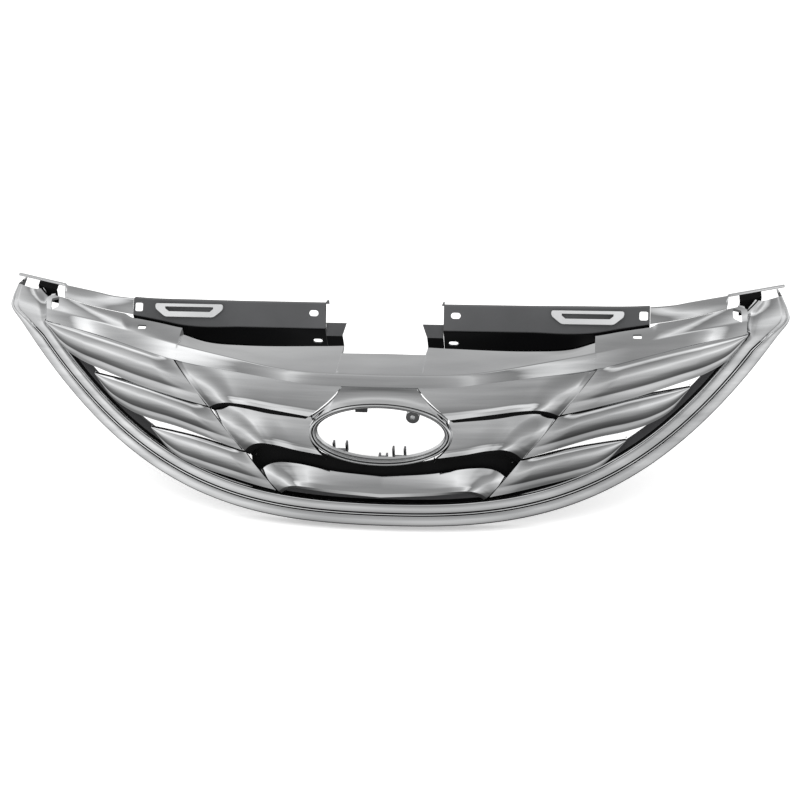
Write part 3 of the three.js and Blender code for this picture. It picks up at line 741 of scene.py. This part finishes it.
def snap_cutters(side):
    """Through the cap's shelf."""
    made = []
    for x in SNAP_HOLE["places"]:
        at = CREASE(x) * SNAP_HOLE["forward"] + DECK_FOLD(x) * (1 - SNAP_HOLE["forward"])
        at[0] *= side
        outline = rounded_rectangle(*SNAP_HOLE["size"])
        across, up = np.array([1, 0, SNAP_HOLE["slant"] * side]), np.array([0, 1, 0])
        made.append(prism(outline, at, across, up, CUT_DEPTH["cap"]))
    return made


# ---- top strips and carriers
RAIL = {"from": 452, "to": 529, "height": 2.6}


def strip_profile(width):
    points = [[-1, -5], [-0.4, -1], [0.6, 0], [width * 0.3, 0.5], [width * 0.6, 0.6],
              [width - 0.5, 0]]
    return smooth(points, [2], 4)


def strip_rows():
    """A strip that narrows beyond the cap's outer end to a rail above the tip."""
    def at(x):
        top = DECK_TOP(x)
        rail = top + np.array([0, -RAIL["height"] / 4, -RAIL["height"]])
        return top, rail if x > RAIL["from"] else DECK_FOLD(x), strip_profile

    steps = [*even(STRIP_INNER, RAIL["from"], 50), *even(RAIL["from"] + 3, RAIL["to"], 30)]
    return moulding(steps, at)


CARRIER = {"inner": 80, "straight_to": 200, "outer": 352, "top_radius": 1.5, "fold_radius": 2.2}
CARRIER_LIP = np.array([0, 9, -2])  # from the deck's top edge to the end of the lip behind it
RISER_FOOT = line_across([
    [200, 100.8, 201.5], [270, 99.8, 209.5], [300, 101.5, 226], [357, 108, 241.5],
])
STRAIGHT_RUN = np.array([120, 5.5, -2.5]) / 120


def on_carrier(line):
    end = line(CARRIER["straight_to"])

    def read(x):
        straight = x < CARRIER["straight_to"]
        return end + STRAIGHT_RUN * (x - CARRIER["straight_to"]) if straight else line(x)

    return read


CARRIER_TOP, CARRIER_FOLD, CARRIER_FOOT = map(on_carrier, (DECK_TOP, DECK_FOLD, RISER_FOOT))


def carrier_front(x):
    """Riser, deck and the lip behind its top edge, with rounded folds."""
    top, fold, foot = CARRIER_TOP(x), CARRIER_FOLD(x), CARRIER_FOOT(x)
    points = [foot, foot * 0.5 + fold * 0.5, fold, fold * 0.5 + top * 0.5, top,
              top + CARRIER_LIP]
    return fillet(fillet(points, 4, CARRIER["top_radius"]), 2, CARRIER["fold_radius"])


def carrier_rows():
    steps = [*even(CARRIER["inner"], CARRIER["straight_to"], 24),
             *even(CARRIER["straight_to"] + 4, CARRIER["outer"], 36)]
    return turned_back(bent_rows(steps, carrier_front), last=False, depth=7)


SLOT = (13, 8, 3.9)  # length, height and corner radius
SQUARE_HOLE = (11.5, 11.5, 2.5)
# The screw slots in deck and riser, and the square hole near the deck's outer end: the size,
# the edges below and above, the x, and the share of the way up.
CARRIER_HOLES = [
    (SLOT, CARRIER_FOLD, CARRIER_TOP, 96, 0.62),
    (SLOT, CARRIER_FOOT, CARRIER_FOLD, 92.5, 0.4),
    (SQUARE_HOLE, CARRIER_FOLD, CARRIER_TOP, 344, 0.52),
]


def carrier_cutters(side):
    flip = np.array([side, 1, 1])
    made = []
    for size, low, high, x, share in CARRIER_HOLES:
        at = between(low(x), high(x), share)
        up = high(CARRIER["inner"]) - low(CARRIER["inner"])
        made.append(prism(rounded_rectangle(*size), at * flip, STRAIGHT_RUN * flip, up * flip,
                          CUT_DEPTH["carrier"]))
    return made


# The pale frame on a carrier: its centre and outside, the recess in it, and the heights of its
# underside and its face over the deck's front line.
WINDOW = {"x": 270, "share": 0.62, "length": 96, "height": 18, "radius": 3.4, "taper": 1.5,
          "shoulder": 0.2, "underside": 3.0, "face": 5.2}
RECESS = {"length": 68, "height": 6.5, "radius": 0.6, "lift": 1.6}


def window_outline(length, height, lift=0.0):
    """Upright short sides above, slanting ones below, and a long edge at top and bottom."""
    a, b = length / 2, height / 2
    shoulder, foot = b * WINDOW["shoulder"], a - b * WINDOW["taper"]
    corners = [(-a, b), (a, b), (a, shoulder), (foot, -b), (-foot, -b), (-a, shoulder)]
    return [np.array([x, y + lift]) for x, y in corners]


def rounded_outline(corners, radius, steps=4):
    points = []
    for i, here in enumerate(corners):
        before, after = corners[i - 1], corners[(i + 1) % len(corners)]
        start = here + unit(before - here) * radius
        end = here + unit(after - here) * radius
        points += arc(start, here, end, steps)
    return points


def window_frame_mesh(name, side):
    """A flat pale frame with a trapezoid recess, bevelled all round."""
    at = between(CARRIER_FOLD(WINDOW["x"]), CARRIER_TOP(WINDOW["x"]), WINDOW["share"])
    up = unit(CARRIER_TOP(CARRIER["inner"]) - CARRIER_FOLD(CARRIER["inner"]))
    normal = unit(np.cross(STRAIGHT_RUN, up))
    outer = rounded_outline(window_outline(WINDOW["length"], WINDOW["height"]), WINDOW["radius"])
    inner = rounded_outline(window_outline(RECESS["length"], RECESS["height"], RECESS["lift"]),
                            RECESS["radius"])
    low, high = WINDOW["underside"], WINDOW["face"]
    layers = [(outer, low), (outer, high), (inner, high), (inner, low)]
    flip = np.array([side, 1, 1])
    points = [(at + unit(STRAIGHT_RUN) * x + up * y + normal * lift) * flip
              for outline, lift in layers for x, y in outline]
    n = len(outer)
    faces = []
    for k in range(len(layers)):
        one, other = k * n, (k + 1) % len(layers) * n
        faces += [(one + i, one + (i + 1) % n, other + (i + 1) % n, other + i) for i in range(n)]
    return solid_mesh(name, points, faces)


def build_window_frames():
    for side, sign in (("right", 1), ("left", -1)):
        node = f"{side}_window_frame"
        name = f"{node}_skin"
        thing = new_piece(name, window_frame_mesh(name, sign), SEAL, [node])
        soften(thing, 0.7, 50, 3)
        thing.visible_glossy = False


# ---- emblem bridge and bezel
# The bridge's top edge runs straight to the shoulder, over the share "split" of its length, and
# sags from there to the wing's corner. Its foot runs round the bezel to the angle "end".
BRIDGE = {"shoulder": 49, "corner": (91.5, 151), "sag": 4.5, "end": 22, "split": 0.7,
          "top_back": 0.5, "foot_back": -1}
BRIDGE_GAP = 0.15
BRIDGE_CLEARANCE = 1  # the foot's distance outside the bezel's outline
BEZEL_BACK = 1


def bridge_top(share):
    """Along the fascia's foot, then down the sagging edge of a wing."""
    shoulder, split = BRIDGE["shoulder"], BRIDGE["split"]
    corner_x, corner_z = BRIDGE["corner"]
    if share <= split:
        x = shoulder * share / split
        return x, FASCIA_FOOT(x)[2] - BRIDGE_GAP
    down = (share - split) / (1 - split)
    bow = BRIDGE["sag"] * 4 * down * (1 - down)
    start_z = FASCIA_FOOT(shoulder)[2] - BRIDGE_GAP
    return between(shoulder, corner_x, down) - bow, between(start_z, corner_z, down)


def bridge_profile(width):
    return smooth([[0, 0], [width * 0.3, -1.1], [width * 0.65, -1.3], [width, 0]], (), 8)


def bridge_rows():
    def at(t):
        top_x, top_z = bridge_top(abs(t))
        angle = math.radians(90 - (90 - BRIDGE["end"]) * abs(t))
        foot_x = (EMBLEM["half_width"] + BRIDGE_CLEARANCE) * math.cos(angle)
        foot_z = FACE_HEIGHT + (EMBLEM["half_height"] + BRIDGE_CLEARANCE) * math.sin(angle)
        side = math.copysign(1, t)
        top = on_face(side * top_x, top_z, BRIDGE["top_back"])
        bottom = on_face(side * foot_x, foot_z, BRIDGE["foot_back"])
        return top, bottom, bridge_profile

    return moulding(even(-1, 1, 80), at)


def on_bezel(x, z, back=0.0):
    """The bezel lies in one leaning plane, without the face's sweep."""
    return np.array([x, RECLINE * (z - FACE_HEIGHT) + BEZEL_BACK + back, z])


# The oval ring's terraces, from its outer foot to the inner wall: inset from the outline, and
# how far each stands out.
BEZEL_TERRACES = [
    [1.5, -11], [0, -3], [0.5, 0.8], [1.6, 2.3], [3.0, 2.8], [4.0, 2.3], [4.5, 0.7], [5.2, 0.5],
    [6.4, 0.9], [7.2, 0.5], [7.6, -1.3], [8.6, -1.5], [9.5, -1.6], [10.3, -3.2], [10.5, -8.8],
]
BEZEL_CORNERS = [1, 6, 7, 10, 12, 13]
BEZEL_LINES = (*range(20, 24), *range(36, 40))  # grid columns given painted shade, shown as the ring's dark lines


def bezel_rows():
    outline = smooth(BEZEL_TERRACES, BEZEL_CORNERS, 4)
    rows = []
    for angle in even(0, 2 * math.pi, 160)[:-1]:
        ring = []
        for inset, out in outline:
            share = inset / (EMBLEM["half_width"] - EMBLEM["open_width"])
            rx = between(EMBLEM["half_width"], EMBLEM["open_width"], share)
            rz = between(EMBLEM["half_height"], EMBLEM["open_height"], share)
            z = FACE_HEIGHT + rz * math.sin(angle)
            ring.append(on_bezel(rx * math.cos(angle), z, -out))
        rows.append(ring)
    return np.array(rows)


# ---- louvres and blades
NOSE_FACET = [7, 9, 5]  # height of the lip under each louvre's nose
SWELL = [6, 8, 3]  # how far the outer ends swell to meet the wing blades
# The x of the ends, at the eave and at the nose. The lower louvre runs from seam to seam.
LOUVRE_ENDS = {
    "upper": {"inner": (50.5, 93.5), "outer": (285, 236.5)},
    "middle": {"inner": (94, 76), "outer": (235, 188.5)},
    "lower": {"outer": (167, 142)},
}
LOWER_HOLLOW = 0.4  # how hollow the lower louvre is beside the others
FACET_SLOPE = (0.85, -0.53)  # along and back of the lip's facet, as shares of its height
LIP = np.array([-4, -6.4])  # from the facet's foot to the end of the sheet turned back under it
FULL_WIDTH = {"louvre": 30, "blade": 50}  # the facet and the crown are smaller below this width
CROWDING = {"louvre": 1.5, "lower": 1.3, "blade": 1.6}  # powers for crowded()
SWELL_FROM = {"louvre": 0.7, "lower": 0.78}  # shares of the length
INNER_FADE = 9  # how quickly the inner end's own outline fades out along the louvre


def crowded(t, power):
    """Even steps from 0 to 1, made to crowd towards 1, the outer end."""
    return 1 - (1 - t) ** power


def louvre_profile(facet, swell, hollow=1.0):
    """Hollow from the eave to the nose, and then the facet and the sheet turned back."""
    def profile(width):
        h = facet * min(width / FULL_WIDTH["louvre"], 1)
        sweep = [[0, 0], [0.25, -1.3], [0.5, -2.1], [0.75, -2.2], [0.86, -1.5], [0.93, -0.76],
                 [1, 0]]
        points = [[width * s, hollow * q + 4 * swell * s * (1 - s)] for s, q in sweep]
        foot = np.array([width + FACET_SLOPE[0] * h, FACET_SLOPE[1] * h - 0.2])
        return smooth([*points, foot, foot + LIP], [6, 7], 6)

    return profile


def bezel_edge(z):
    """Half width of the bezel, with its gap, at each height."""
    rx, rz = EMBLEM["half_width"] + BRIDGE_GAP, EMBLEM["half_height"] + BRIDGE_GAP
    return rx * np.sqrt(np.clip(1 - ((z - FACE_HEIGHT) / rz) ** 2, 0, 1))


def louvre_rows(level, inner, outer, sag=0.0, beside_bezel=False):
    """The inner end sags towards the centre, or follows the bezel where that is further out."""
    def at(t):
        near = crowded(t, CROWDING["louvre"])
        top = EAVE[level](between(inner[0], outer[0], near))
        bottom = NOSE[level](between(inner[1], outer[1], near))
        swell = SWELL[level] * smoothstep(SWELL_FROM["louvre"], 1, near)
        return top, bottom, louvre_profile(NOSE_FACET[level], swell)

    steps = even(0, 1, 90)
    rows = moulding(steps, at)
    for t, row in zip(steps, rows):
        top, bottom, _ = at(t)
        down = np.clip((top[2] - row[:, 2]) / (top[2] - bottom[2]), 0, 1)
        fade = (1 - t) ** INNER_FADE
        row[:, 0] -= 4 * sag * fade * down * (1 - down)
        if beside_bezel:
            past = bezel_edge(row[:, 2]) - between(inner[0], inner[1], down)
            row[:, 0] += np.maximum(past, 0) * fade
    return rows


def lower_louvre_rows():
    eave, nose = mirror_line(EAVE[2]), mirror_line(NOSE[2])
    eave_end, nose_end = LOUVRE_ENDS["lower"]["outer"]

    def at(t):
        near = math.copysign(crowded(abs(t), CROWDING["lower"]), t)
        swell = SWELL[2] * smoothstep(SWELL_FROM["lower"], 1, abs(near))
        profile = louvre_profile(NOSE_FACET[2], swell, LOWER_HOLLOW)
        return eave(near * eave_end), nose(near * nose_end), profile

    return moulding(even(-1, 1, 120), at)


def blade_profile(crown):
    """A blade that swells towards its top edge, with a shallow step near its foot."""
    def profile(width):
        k = min(width / FULL_WIDTH["blade"], 1) * crown
        points = [[0, 0], [0.08, 0.42], [0.2, 0.78], [0.35, 1], [0.5, 0.99], [0.63, 0.86],
                  [0.74, 0.66], [0.87, 0.68], [1, 0.6]]
        return smooth([[-1, -5]] + [[s * width, q * k] for s, q in points], [1, 7], 6)

    return profile


FOOT_LEAD = 40  # the foot's height at the seam is read this far inside the top's start
CROWN_GROWS = (-0.12, 0.2)  # share of the length over which a blade's crown grows from the seam


def blade_rows(blade):
    start = seam_x(blade["inner"]) + SEAM_GAP
    foot_start = seam_x(blade["foot"](seam_x(blade["inner"]) - FOOT_LEAD)[2]) + SEAM_GAP

    def at(t):
        near = crowded(t, CROWDING["blade"])
        top = blade["top"](between(start, blade["outer"], near))
        bottom = blade["foot"](between(foot_start, blade["outer_foot"], near))
        return top, bottom, blade_profile(blade["crown"] * smoothstep(*CROWN_GROWS, near))

    return moulding(even(0, 1, 90), at)


# ---- build the pieces
THIN_WALL = 1.6


def build_chrome():
    """Stations and columns named as dark get painted shade, for the gaps and grooves between the
    mouldings.
    """
    slot = "chrome_plating"
    shell("outer_surround_skin", surround_rows(), slot, CHROME, ["outer_surround"],
          dark_columns=groove_columns(), margin=20)
    shell("top_bar_skin", top_bar_rows(), slot, CHROME, ["top_bar"])
    shell("emblem_bridge_skin", bridge_rows(), slot, CHROME, ["emblem_bridge"])
    shell("emblem_bezel_skin", bezel_rows(), slot, CHROME, ["emblem_bezel"],
          wall=THIN_WALL, bevel=0.3, closed=True, dark_columns=BEZEL_LINES, margin=-1)
    # Painted shade on the turned-back ends of each louvre and on the sheet turned back under each
    # nose.
    gaps = {"dark_stations": (0, -1), "wall": THIN_WALL}
    lip = {"dark_columns": (-1, -2)}
    upper = louvre_rows(0, **LOUVRE_ENDS["upper"], sag=BRIDGE["sag"])
    pair("upper_louvre", turned_back(upper), slot, CHROME, **gaps, **lip)
    middle = louvre_rows(1, **LOUVRE_ENDS["middle"], beside_bezel=True)
    pair("middle_louvre", turned_back(middle), slot, CHROME, **gaps, **lip)
    shell("lower_louvre_skin", turned_back(lower_louvre_rows()), slot, CHROME, ["lower_louvre"],
          **gaps, dark_columns=(-1,))
    # Painted shade on each blade's inner end, and on the top edge of the middle and lower blades.
    for level, blade in BLADES.items():
        rows = turned_back(turned_back(blade_rows(blade), first=False), last=False, depth=2.5)
        pair(f"{level}_wing_blade", rows, slot, CHROME, wall=2, dark_stations=(0,),
             dark_columns=() if level == "upper" else (0,))
    pair("wing_cap", cap_rows(), slot, CHROME, snap_cutters)
    pair("top_strip", strip_rows(), slot, CHROME)


def dress(names, material, bevel=0.4):
    """Carried-over CAD nodes get a node material and softened edges."""
    for name in names:
        thing = frame["nodes"][name]
        thing.data.materials.clear()
        thing.data.materials.append(material)
        soften(thing, bevel, 35)


BAFFLE = {"half_width": 182, "back": 16, "top": 81, "climb": 14, "climb_from": 50,
          "climb_to": 110, "foot": 44, "foot_climb": 5, "foot_width": 158}


def baffle_rows():
    """The black sheet behind the lower louvre rises beside the bezel, out to the seams."""
    rows = []
    for x in even(-BAFFLE["half_width"], BAFFLE["half_width"], 60):
        climb = BAFFLE["climb"] * smoothstep(BAFFLE["climb_from"], BAFFLE["climb_to"], abs(x))
        foot = BAFFLE["foot"] + BAFFLE["foot_climb"] * (x / BAFFLE["foot_width"]) ** 2
        top = on_face(x, BAFFLE["top"] + climb, BAFFLE["back"])
        bottom = on_face(x, foot, BAFFLE["back"])
        width = np.linalg.norm(bottom - top)
        rows.append(section(top, bottom, [[0, -5], [0.5, 0], [width * 0.5, 0], [width, 0]]))
    return np.array(rows)


def build_black():
    shell("lower_baffle_skin", baffle_rows(), "matte_black", BACKING_BLACK_AND_PAINTED_SHADE, ["lower_baffle"], wall=2.4)
    shell("surround_liner_skin", liner_rows(), "matte_black", MATTE, ["surround_liner"], wall=2.6)
    dress(["right_tip_backing", "left_tip_backing"], BACKING_BLACK_AND_PAINTED_SHADE)
    dress(["rear_frame"], MATTE)
    dress(["left_emblem_socket", "centre_emblem_socket", "emblem_foot_tab", "emblem_top_tab"],
          SMOKED)
    dress(["emblem_boss"], CHROME)
    brackets = ["right_latch_bracket", "left_latch_bracket"]
    # The brackets and the carriers take the carrier black, with its painted shade on faces that do
    # not turn up.
    dress(brackets, DECK)
    carriers = pair("top_carrier", carrier_rows(), "carrier_gloss_black", DECK, carrier_cutters,
                    wall=2.4)
    for thing in [*carriers, *(frame["nodes"][name] for name in brackets)]:
        thing.visible_glossy = False
    build_window_frames()
    dress([n for n in frame["nodes"] if n.startswith("frame_screw")], ZINC, 0.2)


build_chrome()
build_black()


# ---- studio
FLOOR_REACH = 6  # metres from the middle to each edge


def floor():
    mesh = bpy.data.meshes.new("floor")
    corners = [(x * FLOOR_REACH, y * FLOOR_REACH, 0)
               for x, y in ((-1, -1), (1, -1), (1, 1), (-1, 1))]
    mesh.from_pydata(corners, [], [(0, 1, 2, 3)])
    thing = add_object("floor", mesh)
    material, tree, shader = node_material("pale_floor")
    tree.links.new(shades(tree, noise(tree, 3), (0.93, 0.93, 0.93), (0.95, 0.95, 0.95)),
                   shader.inputs["Base Color"])
    shader.inputs["Roughness"].default_value = 0.9
    shader.inputs["Specular IOR Level"].default_value = 0.0
    shader.inputs["Emission Color"].default_value = (1, 1, 1, 1)
    shader.inputs["Emission Strength"].default_value = 0.3
    mesh.materials.append(material)
    thing.visible_glossy = False


# Grey reflected from each height of the studio, from straight down (-1) to straight up (1).
FRONT_BANDS = [(-1, 0.03), (-0.75, 0.06), (-0.6, 0.1), (-0.5, 0.14), (-0.4, 0.2), (-0.3, 0.33),
               (-0.2, 0.46), (-0.08, 0.54), (0.03, 0.62), (0.13, 0.78), (0.25, 0.86), (0.36, 0.64),
               (0.5, 0.5), (0.62, 0.42), (0.72, 0.36), (0.79, 0.95), (0.86, 1.3), (0.92, 0.7),
               (0.97, 0.44), (1, 0.44)]
REAR_BANDS = [(-1, 0.03), (-0.5, 0.12), (-0.2, 0.4), (0, 0.65), (0.4, 0.71), (0.7, 0.6),
              (1, 0.44)]
BRIGHTEST = 1.4
# Panels to the sides: how much brighter, and how far sideways they begin and are full.
SIDE_PANELS = {"brighter": 1.6, "from": 0.3, "to": 0.52}
REAR_BLEND = 0.25  # the front bands pass into the rear ones over this much either side of y = 0


def grey_bands(tree, height, bands):
    ramp = tree.nodes.new("ShaderNodeValToRGB")
    elements = ramp.color_ramp.elements
    for i, (at, level) in enumerate(bands):
        element = elements[i] if i < 2 else elements.new(1.0)
        element.position = (at + 1) / 2
        element.color = (level / BRIGHTEST,) * 3 + (1,)
    tree.links.new(height, ramp.inputs["Fac"])
    return ramp.outputs["Color"]


def world():
    """A studio that glossy surfaces reflect as soft bands of grey; it is white otherwise."""
    made = bpy.data.worlds.new("studio")
    bpy.context.scene.world = made
    made.use_nodes = True
    tree = made.node_tree
    tree.nodes.clear()
    direction = tree.nodes.new("ShaderNodeTexCoord")
    split = tree.nodes.new("ShaderNodeSeparateXYZ")
    tree.links.new(direction.outputs["Generated"], split.inputs["Vector"])
    raised = tree.nodes.new("ShaderNodeMath")
    raised.operation = "MULTIPLY_ADD"
    raised.inputs[1].default_value = 0.5
    raised.inputs[2].default_value = 0.5
    tree.links.new(split.outputs["Z"], raised.inputs[0])
    behind = map_range(tree, split.outputs["Y"], (-REAR_BLEND, REAR_BLEND))
    front = grey_bands(tree, raised.outputs["Value"], FRONT_BANDS)
    rear = grey_bands(tree, raised.outputs["Value"], REAR_BANDS)
    sideways = tree.nodes.new("ShaderNodeMath")
    sideways.operation = "ABSOLUTE"
    tree.links.new(split.outputs["X"], sideways.inputs[0])
    panels = map_range(tree, sideways.outputs["Value"], (SIDE_PANELS["from"], SIDE_PANELS["to"]),
                       (BRIGHTEST, BRIGHTEST * SIDE_PANELS["brighter"]))
    reflected = tree.nodes.new("ShaderNodeBackground")
    tree.links.new(panels, reflected.inputs["Strength"])
    tree.links.new(blend_colours(tree, behind, front, rear), reflected.inputs["Color"])
    plain = tree.nodes.new("ShaderNodeBackground")
    plain.inputs["Color"].default_value = (1, 1, 1, 1)
    path = tree.nodes.new("ShaderNodeLightPath")
    mix = tree.nodes.new("ShaderNodeMixShader")
    output = tree.nodes.new("ShaderNodeOutputWorld")
    tree.links.new(path.outputs["Is Glossy Ray"], mix.inputs["Fac"])
    tree.links.new(plain.outputs["Background"], mix.inputs[1])
    tree.links.new(reflected.outputs["Background"], mix.inputs[2])
    tree.links.new(mix.outputs["Shader"], output.inputs["Surface"])


# The soft light above the front: its place, aim and size in metres, and its watts.
KEY = {"spot": (0.2, -1.2, 3.0), "aim": (0, 0, 0.1), "size": (3.0, 1.6), "power": 30}


def key_light():
    data = bpy.data.lights.new("key", "AREA")
    data.shape = "RECTANGLE"
    data.size, data.size_y = KEY["size"]
    data.energy = KEY["power"]
    lamp = add_object("key", data)
    lamp.location = KEY["spot"]
    aim = Vector(KEY["aim"]) - Vector(KEY["spot"])
    lamp.rotation_euler = aim.to_track_quat("-Z", "Y").to_euler()
    lamp.visible_glossy = False


# The view from above and a little to the right: angles in degrees, the lens in millimetres and
# the eye on the design's axes.
CAMERA = {"azimuth": 8.133633, "elevation": 29.927756, "roll": 2.620162, "lens": 67.5,
          "eye": (270.08, -1684.80, 1161.85)}


def camera_axes():
    """Right, up and back of a camera turned by azimuth, raised by elevation, then rolled."""
    a, e, r = (math.radians(CAMERA[k]) for k in ("azimuth", "elevation", "roll"))
    back = Vector((math.sin(a) * math.cos(e), -math.cos(a) * math.cos(e), math.sin(e)))
    level_right = Vector((math.cos(a), math.sin(a), 0))
    level_up = back.cross(level_right)
    right = level_right * math.cos(r) - level_up * math.sin(r)
    return right, back.cross(right), back


def camera():
    data = bpy.data.cameras.new("camera")
    data.lens = CAMERA["lens"]
    data.sensor_width = 36
    data.clip_end = 50
    eye = add_object("camera", data)
    matrix = Matrix(camera_axes()).transposed().to_4x4()
    matrix.translation = Vector(place(CAMERA["eye"]))
    eye.matrix_world = matrix
    bpy.context.scene.camera = eye


floor()
world()
key_light()
camera()
bpy.context.scene.view_settings.view_transform = "Standard"
